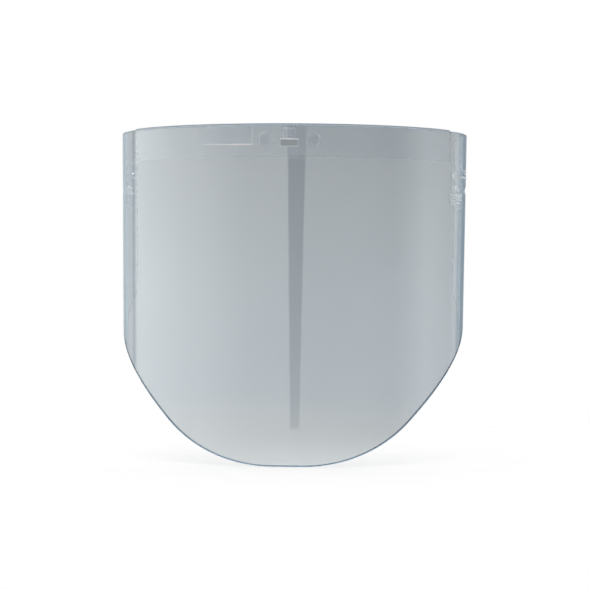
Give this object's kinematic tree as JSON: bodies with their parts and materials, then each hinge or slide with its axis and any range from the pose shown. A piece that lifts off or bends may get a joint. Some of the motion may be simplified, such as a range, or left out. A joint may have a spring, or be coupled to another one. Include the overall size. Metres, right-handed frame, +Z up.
{
  "type": "face shield window",
  "caption": "Clear curved face shield window with a crown slot, side slots, a top band, riveted side lugs and a rounded chin.",
  "frame": {"origin": "middle of the crown slot on the outer face", "axes": "+Z up, -Y the way the wearer looks, +X the wearer's left"},
  "size_m": [0.2446, 0.1031, 0.229],
  "materials": {
    "panel_clear": "clear polycarbonate with a faint grey tint, glossy",
    "band_clear": "clear polycarbonate, glossy",
    "label_clear": "clear blank plate, fine satin",
    "stud_clear": "clear moulded plastic, glossy"
  },
  "bodies": {
    "root": {"window_panel": "panel_clear", "top_band": "band_clear", "crown_catch": "band_clear", "label_plate": "label_clear", "crown_stud_left": "stud_clear", "crown_stud_right": "stud_clear", "side_lug_left": "band_clear", "side_lug_right": "band_clear", "lug_rivet_left": "stud_clear", "lug_rivet_right": "stud_clear"}
  },
  "joints": []
}
